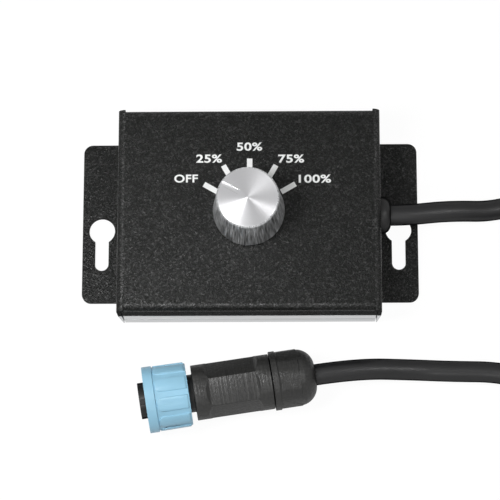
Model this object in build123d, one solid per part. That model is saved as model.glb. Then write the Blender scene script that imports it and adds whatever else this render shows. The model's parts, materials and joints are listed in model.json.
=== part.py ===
from build123d import *
import os
from math import atan, cos, degrees, radians, sin, tan

# LED dimmer box: a folded sheet-metal box with two keyhole ears, a stepped
# rotary switch under an aluminium knob, and a lead that ends in a round
# connector. All sizes are in millimetres. The origin is the middle of the
# back, +X runs along the face, +Y up the face and +Z out of it.

# Folded cover and base tray
box_width = 79.8
box_height = 62.5
box_depth = 20.0
overall_width = 104.0
sheet = 1.2
bend_radius = 2.2
skirt_depth = 9.2
skirt_inset = 0.1
ear_height = 50.4
ear_corner = 2.8
corner_gap = 0.1
tray_gap = 0.4
tray_side_gap = 0.3
lip_overlap = 4.2
lip_clearance = 0.15
joggle_rise = 1.3
groove_height = 5.2
groove_width = 0.5
groove_depth = 0.2
corner_lean = 0.9

# Keyholes in the ears
keyhole_spacing = 92.0
keyhole_head_radius = 4.0
keyhole_head_y = -2.4
keyhole_slot_width = 4.2
keyhole_slot_end_y = -15.0

# Standoffs pressed into the cover, and the tray's countersunk screws
standoff_x = 31.0
standoff_y = 22.5
standoff_radius = 2.75
screw_radius = 1.2
screw_head_radius = 2.3
screw_length = 7.0
screw_slot_width = 0.7
screw_slot_depth = 0.5
thread_clearance = 0.05

# Rotary switch: five detents over 120 degrees
knob_y = -0.7
detent_step = 30.0
detent_count = 5
switch_radius = 9.0
switch_wall = 1.0
switch_depth = 8.6
switch_base_thickness = 1.2
bushing_plate_thickness = 0.8
bushing_radius = 3.5
bushing_height = 6.2
bushing_hole_clearance = 0.15
shaft_radius = 3.0
shaft_head_room = 1.7
shaft_flat_height = 8.5
shaft_flat_depth = 1.5
running_clearance = 0.05
axial_clearance = 0.3
rotor_radius = 6.6
rotor_lug_reach = 1.0
rotor_lug_half_angle = 12.0
rotor_base_gap = 1.0
stop_inner_radius = 6.95
stop_spare_angle = 2.5
stop_width_angle = 30.0
detent_circle = 4.9
ball_radius = 1.0
ball_pocket_clearance = 0.1
ball_pocket_depth = 3.0
dimple_radius = 1.2
dimple_depth = 0.3
spring_wire = 0.3
locating_tab_radius = 7.0
locating_tab_width = 2.4
locating_tab_clearance = 0.15
washer_radius = 5.8
washer_thickness = 0.4
nut_flats = 10.0
nut_thickness = 2.2
hexagon_sides = 6
wiper_radius = 5.6
wiper_width = 1.6
wiper_thickness = 0.3
terminal_width = 0.8
terminal_thickness = 0.5
terminal_length = 4.3
terminal_circle = 6.6

# Knob
knob_gap = 0.7
knob_height = 16.3
knob_base_radius = 10.85
knob_rim_radius = 9.3
knob_face_radius = 8.85
knob_chamfer = 0.55
knob_top_wall = 1.8
knob_cavity_radius = 7.0
knob_mouth_radius = 8.6
knob_mouth_depth = 2.6
knob_groove_width = 1.3
knob_groove_depth = 0.35
knob_groove_inner = 3.2
knob_rest_angle = -60.0
hub_clearance = 0.02
bushing_head_room = 0.5

# Circuit board and what is soldered to it
board_length = 44.0
board_width = 32.0
board_thickness = 1.6
board_drop = 1.6
board_corner = 1.0
pin_hole_clearance = 0.12
resistor_count = 4
resistor_size = (3.2, 1.6, 0.7)
resistor_pitch = 4.5
terminal_block_size = (7.0, 11.4, 6.4)
wire_entry_height = 2.6
wire_entry_radius = 0.95

# Cord and its strain relief
cord_radius = 3.25
relief_y = 0.15
relief_z = 10.0
relief_head_radius = 5.7
relief_head_length = 3.3
relief_head_round = 2.6
relief_shank_radius = 4.7
relief_shank_length = 9.0
relief_hole_clearance = 0.1
relief_cord_clearance = 0.05
relief_nut_flats = 12.0
relief_nut_thickness = 3.0
inner_cord_reach = 4.0
wire_radius = 0.65
wire_circle = 1.7
wire_pitch = 3.4
wire_count = 3
wire_bend = 1.0
wire_lead_share = 0.25

# Connector, measured along its axis from the front of the coupling nut
nut_front = (-31.22, -56.84)
connector_heading = 8.74
connector_roll = 12.7
coupling_radius = 10.0
coupling_rear_radius = 9.75
coupling_length = 13.1
coupling_band = 3.0
coupling_band_chamfer = 0.15
coupling_bore_radius = 8.4
coupling_rear_wall = 2.0
coupling_floor_drop = 0.45
coupling_rear_round = 0.7
rib_count = 10
rib_width = 4.1
rib_corner = 1.3
rib_gap = 0.3
rib_front_drop = 0.15
rib_first_angle = 9.0
neck_radius = 5.7
neck_length = 1.55
body_radius = 8.35
body_length = 23.55
body_front_ring = 4.0
body_rear_ring = 3.9
body_flat_count = 6
body_flat_ramp = 0.7
body_thread_radius = 6.9
body_thread_length = 5.6
body_seal_bore_radius = 6.0
insert_radius = 5.45
insert_protrusion = 1.9
insert_flange_radius = 7.4
insert_flange_thickness = 2.2
insert_tail_radius = 4.2
insert_tail_length = 9.5
insert_key_width = 1.6
insert_key_depth = 0.7
contact_radius = 0.85
contact_circle = 2.4
contact_recess = 1.0
contact_tail = 1.5
seal_ring_thickness = 1.2
seal_ring_radius = 7.0
gland_gap = 0.25
gland_length = 13.2
gland_flange_radius = 8.95
gland_flange_length = 1.8
gland_barrel_radius = 8.65
gland_flat_apothem = 8.3
gland_flat_length = 6.0
gland_flat_count = 6
gland_dome_length = 5.0
gland_dome_radius = 8.5
gland_dome_round = 5.5
gland_bore_radius = 7.0
gland_hole_clearance = 0.2
gland_end_wall = 2.2
gland_seal_length = 6.0
cage_length = 5.4
cage_wall = 1.0
cage_finger_count = 6
cage_slit = 0.8
connector_cord_depth = 24.0
fit_gap = 0.05

# Free cord. Its route points are chosen by hand, and its unseen length is
# wound in a coil three turns wide and two high.
coil_centre = (129.0, -22.0)
coil_mid_radius = 35.0
coil_turns_wide = 3
coil_turns_high = 2
box_route = [
    (43.2, 0.15, 10.0),
    (48.6, 0.15, 10.0),
    (61.3, 1.72, 8.95),
    (76.5, 2.72, 3.25),
    (91.6, 8.35, 3.25),
]
box_tail_length = 26.0
plug_route_after_exit = [
    (50.0, -46.7, 3.25),
    (61.0, -47.2, 3.25),
    (77.0, -47.45, 3.25),
    (91.21, -52.55, 6.6),
]
plug_first_run = 13.0
plug_tail_rise = 14.5
plug_tail_end = (115.0, -61.07, 9.75)
arc_share = 0.45

# Heights and reaches that follow from the sizes above
half_width = box_width / 2
half_height = box_height / 2
face_inside = box_depth - sheet
skirt_edge = box_depth - skirt_depth
skirt_face = half_height - skirt_inset
ear_reach = overall_width / 2
full_turn = 360.0
quarter_turn = full_turn / 4
through = 1.0


def block(x, y, z):
    """Box between two values on each axis."""
    size = (x[1] - x[0], y[1] - y[0], z[1] - z[0])
    middle = ((x[0] + x[1]) / 2, (y[0] + y[1]) / 2, (z[0] + z[1]) / 2)
    return Pos(*middle) * Box(*size)


def rod(radius, low, high):
    """Cylinder on the Z axis between two heights."""
    middle = (low + high) / 2
    return Pos(0, 0, middle) * Cylinder(radius, high - low)


def ring(outer, inner, low, high):
    """Tube on the Z axis between two heights."""
    return rod(outer, low, high) - rod(inner, low, high)


def hexagon(flats, low, high):
    """Hexagonal prism on the Z axis, given across its flats."""
    outline = RegularPolygon(flats / 2, hexagon_sides, major_radius=False)
    return Pos(0, 0, low) * extrude(outline, high - low)


def turned(*profile):
    """Solid turned about Z from (radius, height) points."""
    return revolve(Plane.XZ * make_face(Polyline(*profile, close=True)), Axis.Z)


def around(piece, count, first=0.0):
    """Copies of a piece, evenly spaced about Z."""
    step = full_turn / count
    return [Rot(0, 0, first + step * i) * piece for i in range(count)]


def both_sides(piece):
    """A piece and its mirror image across the YZ plane."""
    return piece + mirror(piece, Plane.YZ)


def on_corners(piece):
    """Copies of a piece at the four standoff places."""
    places = [(x, y) for x in (-standoff_x, standoff_x) for y in (-standoff_y, standoff_y)]
    return [Pos(x, y, 0) * piece for x, y in places]


def at_knob(piece):
    """A piece built on the Z axis, moved to the knob's axis."""
    return Pos(0, knob_y, 0) * piece


def keyhole(height):
    """Round head with a slot that runs down the ear."""
    head = Pos(0, keyhole_head_y) * Circle(keyhole_head_radius)
    slot_radius = keyhole_slot_width / 2
    slot_end = keyhole_slot_end_y + slot_radius
    slot_length = keyhole_head_y - slot_end
    slot = Pos(0, slot_end + slot_length / 2) * Rectangle(keyhole_slot_width, slot_length)
    foot = Pos(0, slot_end) * Circle(slot_radius)
    return Pos(keyhole_spacing / 2, 0, -through) * extrude(head + slot + foot, height + 2 * through)


def bend(quadrant):
    """Section of a bend in the sheet, in one quadrant about its centre."""
    quarter = Pos(bend_radius / 2, bend_radius / 2) * Rectangle(bend_radius, bend_radius)
    return Rot(0, 0, quadrant) * ((Circle(bend_radius) - Circle(bend_radius - sheet)) & quarter)


def patch(x, z):
    """Rectangle between two values on each axis of a section."""
    middle = ((x[0] + x[1]) / 2, (z[0] + z[1]) / 2)
    return Pos(*middle) * Rectangle(x[1] - x[0], z[1] - z[0])


def cover():
    """Face, four skirts, and a tongue on each side that folds out as an ear."""
    flat_edge = half_width - bend_radius
    bend_height = box_depth - bend_radius

    # The side wall and its bend run the full height, cut square at the ends.
    side_profile = Pos(flat_edge, bend_height) * bend(0)
    side_profile += patch((half_width - sheet, half_width), (skirt_edge, bend_height))
    side = extrude(Plane.XZ * side_profile, half_height, both=True)

    # The face and the top and bottom skirts lie between the side bends.
    middle = block((-flat_edge, flat_edge), (-skirt_face, skirt_face), (skirt_edge, box_depth))
    middle = fillet(middle.edges().filter_by(Axis.X).group_by(Axis.Z)[-1], bend_radius)
    hollow = block(
        (-flat_edge - through, flat_edge + through),
        (-skirt_face + sheet, skirt_face - sheet),
        (skirt_edge - through, face_inside),
    )
    hollow = fillet(hollow.edges().filter_by(Axis.X).group_by(Axis.Z)[-1], bend_radius - sheet)
    middle -= hollow
    skirt_end = half_width - sheet - corner_gap
    skirt = block((-skirt_end, skirt_end), (skirt_face - sheet, skirt_face), (skirt_edge, bend_height))

    # The tongue runs down to the back and folds out to the ear.
    fold_x = half_width - sheet + bend_radius
    fold_profile = Pos(fold_x, bend_radius) * bend(180)
    fold_profile += patch((half_width - sheet, half_width), (bend_radius, skirt_edge))
    tongue = extrude(Plane.XZ * fold_profile, ear_height / 2, both=True)
    ear = block((fold_x, ear_reach), (-ear_height / 2, ear_height / 2), (0, sheet))
    ear = fillet(ear.edges().filter_by(Axis.Z).group_by(Axis.X)[-1], ear_corner)
    fold = tongue + ear
    fold -= keyhole(sheet)

    piece = middle + skirt + mirror(skirt, Plane.XZ) + both_sides(side) + both_sides(fold)
    plate = (face_inside - through, box_depth + through)
    piece -= at_knob(rod(bushing_radius + bushing_hole_clearance, *plate))
    tab = locating_tab_width / 2 + locating_tab_clearance
    tab_depth = bushing_plate_thickness / 2 + locating_tab_clearance
    piece -= at_knob(
        block(
            (-tab, tab),
            (-locating_tab_radius - tab_depth, -locating_tab_radius + tab_depth),
            plate,
        )
    )
    relief_hole = rod(relief_shank_radius + relief_hole_clearance, 0, 2 * sheet + through)
    piece -= at_relief(Pos(0, 0, -2 * sheet) * relief_hole)
    return piece


def tray():
    """Back plate with walls that stand flush below the skirts and a lip inside them."""
    wall_in = skirt_face - sheet
    wall_top = skirt_edge - tray_gap
    lip_out = wall_in - lip_clearance
    lip_in = lip_out - sheet
    lip_top = skirt_edge + lip_overlap
    side_in = half_width - sheet

    plate = block((-side_in, side_in), (-wall_in, wall_in), (0, sheet))
    wall_profile = make_face(
        Polyline(
            (wall_in, 0),
            (skirt_face, 0),
            (skirt_face, wall_top),
            (lip_out, wall_top + tray_gap / 2),
            (lip_out, lip_top),
            (lip_in, lip_top),
            (lip_in, wall_top - joggle_rise + tray_gap / 2),
            (wall_in, wall_top - joggle_rise),
            close=True,
        )
    )
    wall_end = side_in - tray_side_gap
    wall = extrude(Plane.YZ * wall_profile, wall_end, both=True)
    corner_edges = wall.edges().filter_by(Axis.X).group_by(Axis.Z)[0].sort_by(Axis.Y)
    wall = fillet(corner_edges[-1], sheet / 2)
    wall -= block(
        (-side_in, side_in),
        (skirt_face - groove_depth, skirt_face + through),
        (groove_height - groove_width / 2, groove_height + groove_width / 2),
    )

    # Short returns at the corners cover the ends of the walls and lean inward.
    return_in = ear_height / 2 + tray_side_gap
    side = block((side_in, half_width), (return_in, half_height), (0, wall_top))
    lean = make_face(
        Polyline(
            (half_width - corner_lean, 0),
            (half_width, wall_top),
            (half_width + through, wall_top),
            (half_width + through, 0),
            close=True,
        )
    )
    side -= extrude(Plane.XZ * lean, overall_width, both=True)
    foot = block((side_in - sheet, side_in), (return_in, wall_in), (0, sheet))
    corner = side + foot
    notch = block(
        (side_in - tray_side_gap, half_width + through),
        (-return_in, return_in),
        (-through, sheet + through),
    )
    corners = both_sides(corner + mirror(corner, Plane.XZ))
    piece = plate + wall + mirror(wall, Plane.XZ) + corners - both_sides(notch)
    cone = turned(
        (0, -through),
        (screw_head_radius + fit_gap + through, -through),
        (screw_radius + fit_gap, screw_head_radius - screw_radius),
        (screw_radius + fit_gap, sheet + through),
        (0, sheet + through),
    )
    for hole in on_corners(cone):
        piece -= hole
    return piece


def standoffs():
    """Four round posts pressed into the inside of the cover's face."""
    post = rod(standoff_radius, sheet, face_inside)
    bore_top = screw_length + screw_radius
    post -= rod(screw_radius + thread_clearance, 0, bore_top)
    return on_corners(post)


def tray_screws():
    """Countersunk screws that go through the tray into the standoffs."""
    head_depth = screw_head_radius - screw_radius
    screw = turned(
        (0, 0),
        (screw_head_radius, 0),
        (screw_radius, head_depth),
        (screw_radius, screw_length),
        (0, screw_length),
    )
    cross = block(
        (-screw_radius, screw_radius),
        (-screw_slot_width / 2, screw_slot_width / 2),
        (-through, screw_slot_depth),
    )
    return on_corners(screw - cross - Rot(0, 0, 90) * cross)


# Rotary switch. It hangs behind the face, from its bushing.
plate_low = face_inside - bushing_plate_thickness
base_low = face_inside - switch_depth
base_top = base_low + switch_base_thickness
rotor_low = base_top + rotor_base_gap
rotor_top = plate_low - axial_clearance
bushing_top = face_inside + bushing_height
detent_span = detent_step * (detent_count - 1)
rest_lug_angle = quarter_turn - knob_rest_angle


def detent_angles():
    """Directions of the detents, clockwise from the rest position."""
    return [rest_lug_angle - detent_step * i for i in range(detent_count)]


def switch_bushing():
    """Die-cast plate with the threaded tube, a locating tab and five dimples."""
    bore = shaft_radius + running_clearance
    piece = rod(switch_radius, plate_low, face_inside)
    piece += rod(bushing_radius, plate_low, bushing_top)
    tab = block(
        (-locating_tab_width / 2, locating_tab_width / 2),
        (
            -locating_tab_radius - bushing_plate_thickness / 2,
            -locating_tab_radius + bushing_plate_thickness / 2,
        ),
        (plate_low, box_depth),
    )
    piece += tab
    piece -= rod(bore, plate_low - through, bushing_top + through)
    dimple_centre = plate_low - dimple_radius + dimple_depth
    for angle in detent_angles():
        dimple = Pos(detent_circle, 0, dimple_centre) * Sphere(dimple_radius)
        piece -= Rot(0, 0, angle) * dimple
    return at_knob(piece)


def wedge(inner, outer, low, high, middle_angle, half_angle):
    """Part of a ring between two directions."""
    lines = [
        Line((0, 0), (2 * outer * cos(radians(a)), 2 * outer * sin(radians(a))))
        for a in (middle_angle - half_angle, middle_angle + half_angle)
    ]
    closing = Line(lines[0] @ 1, lines[1] @ 1)
    sector = make_face([lines[0], closing, lines[1]])
    sector = Pos(0, 0, low) * extrude(sector, high - low)
    return ring(outer, inner, low, high) & sector


def switch_housing():
    """Moulded ring with the two stops that limit the rotor's lug."""
    inner = switch_radius - switch_wall
    piece = ring(switch_radius, inner, base_top, plate_low)
    reach = rotor_lug_half_angle + stop_spare_angle + stop_width_angle / 2
    for angle in (rest_lug_angle + reach, rest_lug_angle - detent_span - reach):
        piece += wedge(
            stop_inner_radius,
            inner + switch_wall / 2,
            base_top,
            plate_low,
            angle,
            stop_width_angle / 2,
        )
    return at_knob(piece)


def switch_base():
    """Contact base that closes the housing from behind, slotted for its terminals."""
    piece = rod(switch_radius, base_low, base_top)
    for slot in terminal_bars(pin_hole_clearance):
        piece -= slot
    return at_knob(piece)


def terminal_bars(clearance):
    """Flat pins, one for each detent and a common one opposite them."""
    wide = terminal_width / 2 + clearance
    thick = terminal_thickness / 2 + clearance
    bar = block(
        (terminal_circle - thick, terminal_circle + thick),
        (-wide, wide),
        (base_low - terminal_length, base_top),
    )
    common_angle = rest_lug_angle - detent_span / 2 + full_turn / 2
    return [Rot(0, 0, angle) * bar for angle in detent_angles() + [common_angle]]


def switch_terminals():
    """Six tinned pins that carry the circuit board."""
    return [at_knob(bar) for bar in terminal_bars(0)]


def switch_rotor():
    """Drum pressed on the shaft, with a stop lug and a pocket for the ball."""
    piece = rod(rotor_radius, rotor_low, rotor_top)
    piece += wedge(
        rotor_radius - switch_wall,
        rotor_radius + rotor_lug_reach,
        rotor_low,
        rotor_top,
        rest_lug_angle,
        rotor_lug_half_angle,
    )
    piece -= rod(shaft_radius + hub_clearance, rotor_low - through, rotor_top + through)
    pocket = rod(
        ball_radius + ball_pocket_clearance,
        rotor_top - ball_pocket_depth,
        rotor_top + through,
    )
    piece -= Rot(0, 0, rest_lug_angle) * Pos(detent_circle, 0, 0) * pocket
    return at_knob(piece)


def detent_ball():
    """Steel ball that drops into the bushing plate's dimples."""
    centre = plate_low - axial_clearance - ball_radius
    ball = Pos(detent_circle, 0, centre) * Sphere(ball_radius)
    return at_knob(Rot(0, 0, rest_lug_angle) * ball)


def detent_spring():
    """Coil spring under the ball, as the sleeve that its turns fill."""
    ball_low = plate_low - axial_clearance - 2 * ball_radius
    sleeve = ring(
        ball_radius,
        ball_radius - spring_wire,
        rotor_top - ball_pocket_depth,
        ball_low,
    )
    return at_knob(Rot(0, 0, rest_lug_angle) * Pos(detent_circle, 0, 0) * sleeve)


def switch_wiper():
    """Sprung strip under the rotor that sweeps the contacts."""
    piece = block(
        (-wiper_width / 2, wiper_radius),
        (-wiper_width / 2, wiper_width / 2),
        (rotor_low - wiper_thickness, rotor_low),
    )
    foot = block(
        (wiper_radius - wiper_width, wiper_radius),
        (-wiper_width / 2, wiper_width / 2),
        (base_top + axial_clearance, rotor_low),
    )
    return at_knob(Rot(0, 0, rest_lug_angle) * (piece + foot))


def switch_shaft():
    """Steel shaft with a flat for the knob."""
    piece = rod(shaft_radius, rotor_low, shaft_top)
    flat = block(
        (-shaft_radius, shaft_radius),
        (shaft_radius - shaft_flat_depth, shaft_radius + through),
        (shaft_top - shaft_flat_height, shaft_top + through),
    )
    return at_knob(Rot(0, 0, knob_rest_angle) * (piece - flat))


def bushing_washer():
    """Washer between the nut and the cover."""
    inner = bushing_radius + bushing_hole_clearance
    return at_knob(ring(washer_radius, inner, box_depth, box_depth + washer_thickness))


def bushing_nut():
    """Hexagon nut that clamps the switch to the cover, hidden by the knob."""
    low = box_depth + washer_thickness
    piece = hexagon(nut_flats, low, low + nut_thickness)
    piece -= rod(bushing_radius + thread_clearance, low - through, low + nut_thickness + through)
    return at_knob(piece)


knob_low = box_depth + knob_gap
knob_top = knob_low + knob_height
cavity_top = knob_top - knob_top_wall
shaft_top = cavity_top - shaft_head_room


def knob():
    """Turned aluminium cap with a spun face and an indicator groove."""
    piece = turned(
        (0, knob_low),
        (knob_base_radius, knob_low),
        (knob_rim_radius, knob_top - knob_chamfer),
        (knob_face_radius, knob_top),
        (0, knob_top),
    )
    piece -= rod(knob_mouth_radius, knob_low - through, knob_low + knob_mouth_depth)
    piece -= rod(knob_cavity_radius, knob_low - through, cavity_top)
    groove = block(
        (-knob_groove_width / 2, knob_groove_width / 2),
        (knob_groove_inner, knob_base_radius),
        (knob_top - knob_groove_depth, knob_top + through),
    )
    piece -= Rot(0, 0, -knob_rest_angle) * groove
    return at_knob(piece)


def knob_hub():
    """Moulded hub inside the knob, with the bore that grips the shaft's flat."""
    low = knob_low + knob_mouth_depth
    piece = rod(knob_cavity_radius - hub_clearance, low, cavity_top)
    bore = rod(shaft_radius + hub_clearance, low - through, shaft_top + hub_clearance)
    key = block(
        (-shaft_radius, shaft_radius),
        (shaft_radius - shaft_flat_depth + hub_clearance, shaft_radius + through),
        (shaft_top - shaft_flat_height + axial_clearance, shaft_top + through),
    )
    piece -= Rot(0, 0, knob_rest_angle) * (bore - key)
    head_room = bushing_radius + bushing_head_room
    piece -= rod(head_room, low - through, bushing_top + bushing_head_room)
    return at_knob(piece)


# Circuit board, held by the switch's terminals
board_top = base_low - board_drop
board_low = board_top - board_thickness
block_x = board_length / 2 - terminal_block_size[0]


def circuit_board():
    """Board with holes for the switch's pins."""
    outline = RectangleRounded(board_length, board_width, board_corner)
    piece = Pos(0, 0, board_low) * extrude(outline, board_thickness)
    for slot in terminal_bars(pin_hole_clearance):
        piece -= slot
    return at_knob(piece)


def resistors():
    """Row of chip resistors on the back of the board."""
    length, width, height = resistor_size
    middle = (resistor_count - 1) / 2
    row = []
    for i in range(resistor_count):
        y = (i - middle) * resistor_pitch
        chip = block(
            (-length / 2, length / 2),
            (y - width / 2, y + width / 2),
            (board_low - height, board_low),
        )
        row.append(at_knob(Pos(-board_length / 2 + length, 0, 0) * chip))
    return row


def terminal_block():
    """Screw terminal block on the front of the board, with a hole for each wire."""
    length, width, height = terminal_block_size
    piece = block((block_x, block_x + length), (-width / 2, width / 2), (board_top, board_top + height))
    piece = Pos(0, relief_y, 0) * piece
    for y in wire_rows():
        hole = Rot(0, 90, 0) * Cylinder(wire_entry_radius, length)
        piece -= Pos(block_x + length, y, board_top + wire_entry_height) * hole
    return piece


def wire_rows():
    """Y of each conductor at the terminal block."""
    middle = (wire_count - 1) / 2
    return [relief_y + (i - middle) * wire_pitch for i in range(wire_count)]


def at_relief(piece):
    """A piece built on Z from the wall's outer face, turned to point along +X."""
    return Pos(half_width, relief_y, relief_z) * Rot(0, 90, 0) * piece


def strain_relief():
    """Domed bushing in the side wall that grips the cord."""
    head = rod(relief_head_radius, 0, relief_head_length)
    rim = head.edges().filter_by(GeomType.CIRCLE).sort_by(Axis.Z)[-1]
    head = fillet(rim, relief_head_round)
    piece = head + rod(relief_shank_radius, -relief_shank_length, 0)
    bore = cord_radius + relief_cord_clearance
    piece -= rod(bore, -relief_shank_length - through, relief_head_length + through)
    return at_relief(piece)


def strain_relief_nut():
    """Lock nut on the inside of the wall."""
    low = -sheet - relief_nut_thickness
    piece = hexagon(relief_nut_flats, low, -sheet)
    piece -= rod(relief_shank_radius + thread_clearance, low - through, -sheet + through)
    return at_relief(piece)


inner_cord_end = -relief_shank_length - inner_cord_reach


def inner_cord():
    """End of the cord inside the box, from the relief's face to its stripped end."""
    return at_relief(rod(cord_radius, inner_cord_end, relief_head_length))


def tube_along(route, radius, radii):
    """Round bar along straight runs joined by tangent arcs."""
    path = FilletPolyline(*route, radius=radii)
    start = Plane(origin=path @ 0, z_dir=path % 0)
    return sweep(start * Circle(radius), path=path), path.length


def inner_wires():
    """Conductors from the stripped end to the terminal block."""
    wires = []
    start_x = half_width + inner_cord_end
    end_x = block_x + terminal_block_size[0]
    lead = (start_x - end_x) * wire_lead_share
    end_z = board_top + wire_entry_height
    middle = (wire_count - 1) / 2
    for i, y in enumerate(wire_rows()):
        angle = radians(quarter_turn + full_turn / wire_count * (i - middle))
        start_y = relief_y + wire_circle * -cos(angle)
        start_z = relief_z + wire_circle * sin(angle)
        route = [
            (start_x, start_y, start_z),
            (start_x - lead, start_y, start_z),
            (end_x + lead, y, end_z),
            (end_x - lead, y, end_z),
        ]
        wires.append(tube_along(route, wire_radius, [wire_bend, wire_bend])[0])
    return wires


# Connector. It is built on Z, from the coupling nut's front, then laid down
# so that the nut's band and the gland nut's flange both rest on the surface.
body_front = coupling_length + neck_length
body_rear = body_front + body_length
gland_front = body_rear + gland_gap
gland_rear = gland_front + gland_length
band_rear = coupling_band - coupling_band_chamfer
rest_span = gland_front + gland_flange_length - band_rear
connector_slope = degrees(atan((coupling_radius - gland_flange_radius) / rest_span))
slope_angle = radians(connector_slope)
axis_height = coupling_radius * cos(slope_angle) + band_rear * sin(slope_angle)
rear_wall_front = coupling_length - coupling_rear_wall
flange_rear = rear_wall_front - axial_clearance
flange_front = flange_rear - insert_flange_thickness
cord_end_station = body_rear - (connector_cord_depth - gland_length)


def connector_axis():
    """Unit vector from the connector's front to its cord."""
    heading = radians(connector_heading)
    level = cos(slope_angle)
    return Vector(cos(heading) * level, sin(heading) * level, -sin(slope_angle))


def at_connector(piece):
    """A piece built on Z, moved to where the connector lies."""
    axis = connector_axis()
    across = Vector(0, 0, 1).cross(axis)
    above = axis.cross(across)
    roll = radians(connector_roll)
    upper = above * cos(roll) - across * sin(roll)
    place = Plane(origin=(*nut_front, axis_height), x_dir=upper, z_dir=axis)
    return place.location * piece


def coupling_nut():
    """Threaded nut with a plain front band and rounded grip ribs."""
    floor_front = coupling_radius - coupling_floor_drop
    floor_rear = coupling_rear_radius - coupling_floor_drop
    barrel = turned(
        (0, 0),
        (coupling_radius, 0),
        (coupling_radius, band_rear),
        (floor_front, coupling_band),
        (floor_rear, coupling_length),
        (0, coupling_length),
    )
    rib_envelope = turned(
        (floor_rear - through, coupling_band),
        (coupling_radius - rib_front_drop, coupling_band),
        (coupling_rear_radius, coupling_length - coupling_rear_round),
        (coupling_rear_radius - coupling_rear_round, coupling_length),
        (floor_rear - through, coupling_length),
    )
    rib_length = coupling_length - coupling_band + rib_corner
    outline = RectangleRounded(rib_length, rib_width, rib_corner)
    rib_middle = coupling_band + rib_gap + rib_length / 2
    pad = extrude(Plane.YZ * Rot(0, 0, 90) * outline, coupling_radius + through)
    rib = rib_envelope & (Pos(0, 0, rib_middle) * pad)
    piece = barrel + around(rib, rib_count, rib_first_angle)
    piece -= rod(coupling_bore_radius, -through, rear_wall_front)
    piece -= rod(neck_radius + running_clearance, -through, coupling_length + through)
    return at_connector(piece)


def flat_cutter(apothem, low, high, ramp):
    """Bar that planes one flat on a round barrel, with sloped ends."""
    outside = 2 * body_radius
    profile = make_face(
        Polyline(
            (apothem, low + ramp),
            (apothem, high - ramp),
            (apothem + outside, high + ramp * (outside / ramp - 1) if ramp else high),
            (apothem + outside, low - ramp * (outside / ramp - 1) if ramp else low),
            close=True,
        )
    )
    return extrude(Plane.XZ * profile, body_radius, both=True)


def connector_body():
    """Moulded body with a hexagonal grip between two round bands."""
    thread_end = body_rear + body_thread_length
    piece = turned(
        (0, flange_rear),
        (neck_radius, flange_rear),
        (neck_radius, body_front),
        (body_radius, body_front),
        (body_radius, body_rear),
        (body_thread_radius, body_rear),
        (body_thread_radius, thread_end),
        (0, thread_end),
    )
    apothem = body_radius * cos(radians(full_turn / 2 / body_flat_count))
    cutter = flat_cutter(
        apothem,
        body_front + body_front_ring,
        body_rear - body_rear_ring,
        body_flat_ramp,
    )
    for flat in around(cutter, body_flat_count):
        piece -= flat
    tail_end = flange_rear + insert_tail_length
    piece -= rod(insert_tail_radius + fit_gap, flange_rear - through, tail_end)
    piece -= rod(cord_radius + gland_hole_clearance, tail_end - through, thread_end)
    seal_low = thread_end - gland_seal_length
    piece -= rod(body_seal_bore_radius + fit_gap, seal_low, thread_end + through)
    return at_connector(piece)


def contact_places():
    """Turns that put each contact on its circle."""
    return [Rot(0, 0, full_turn / wire_count * i) * Pos(contact_circle, 0, 0) for i in range(wire_count)]


def contact_insert():
    """Moulded insert that carries the contacts, keyed at its front."""
    tail_end = flange_rear + insert_tail_length
    piece = turned(
        (0, -insert_protrusion),
        (insert_radius, -insert_protrusion),
        (insert_radius, flange_front),
        (insert_flange_radius, flange_front),
        (insert_flange_radius, flange_rear),
        (insert_tail_radius, flange_rear),
        (insert_tail_radius, tail_end - contact_tail),
        (0, tail_end - contact_tail),
    )
    piece -= block(
        (insert_radius - insert_key_depth, insert_radius + through),
        (-insert_key_width / 2, insert_key_width / 2),
        (-insert_protrusion - through, flange_front - seal_ring_thickness),
    )
    hole = rod(contact_radius + fit_gap, -insert_protrusion - through, tail_end)
    for place in contact_places():
        piece -= place * hole
    return at_connector(piece)


def contact_sockets():
    """Three turned brass sockets, a little behind the insert's face."""
    tail_end = flange_rear + insert_tail_length
    front = contact_recess - insert_protrusion
    bore = contact_radius / 2
    socket = rod(contact_radius, front, tail_end)
    socket -= rod(bore, front - through, flange_rear)
    return [at_connector(place * socket) for place in contact_places()]


def connector_wires():
    """Conductors between the sockets and the cord's stripped end."""
    tail_end = flange_rear + insert_tail_length
    wire = rod(wire_radius, tail_end, cord_end_station)
    return [at_connector(place * wire) for place in contact_places()]


def seal_ring():
    """Rubber ring on the front of the insert's flange."""
    return at_connector(
        ring(
            seal_ring_radius,
            insert_radius + fit_gap,
            flange_front - seal_ring_thickness,
            flange_front,
        )
    )


def gland_nut():
    """Cap nut with a lip, wrench flats and a domed end that the cord leaves by."""
    dome_start = gland_rear - gland_dome_length
    dome = rod(gland_dome_radius, gland_front, gland_rear)
    end_rim = dome.edges().filter_by(GeomType.CIRCLE).sort_by(Axis.Z)[-1]
    piece = fillet(end_rim, gland_dome_round) + rod(gland_barrel_radius, gland_front, dome_start)
    flat_low = dome_start - gland_flat_length
    cutter = block(
        (gland_flat_apothem, 2 * gland_barrel_radius),
        (-gland_barrel_radius, gland_barrel_radius),
        (flat_low, gland_rear + through),
    )
    for flat in around(cutter, gland_flat_count):
        piece -= flat
    piece += rod(gland_flange_radius, gland_front, gland_front + gland_flange_length)
    thread_end = body_rear + body_thread_length
    cone_top = gland_rear - gland_end_wall
    hole = cord_radius + gland_hole_clearance
    cavity = turned(
        (0, gland_front - through),
        (gland_bore_radius, gland_front - through),
        (gland_bore_radius, thread_end + axial_clearance),
        (hole + cage_wall, cone_top),
        (hole, cone_top),
        (hole, gland_rear + through),
        (0, gland_rear + through),
    )
    return at_connector(piece - cavity)


def gland_seal():
    """Rubber sleeve that the gland nut squeezes on the cord."""
    high = body_rear + body_thread_length
    return at_connector(
        ring(body_seal_bore_radius, cord_radius + fit_gap, high - gland_seal_length, high)
    )


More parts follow.
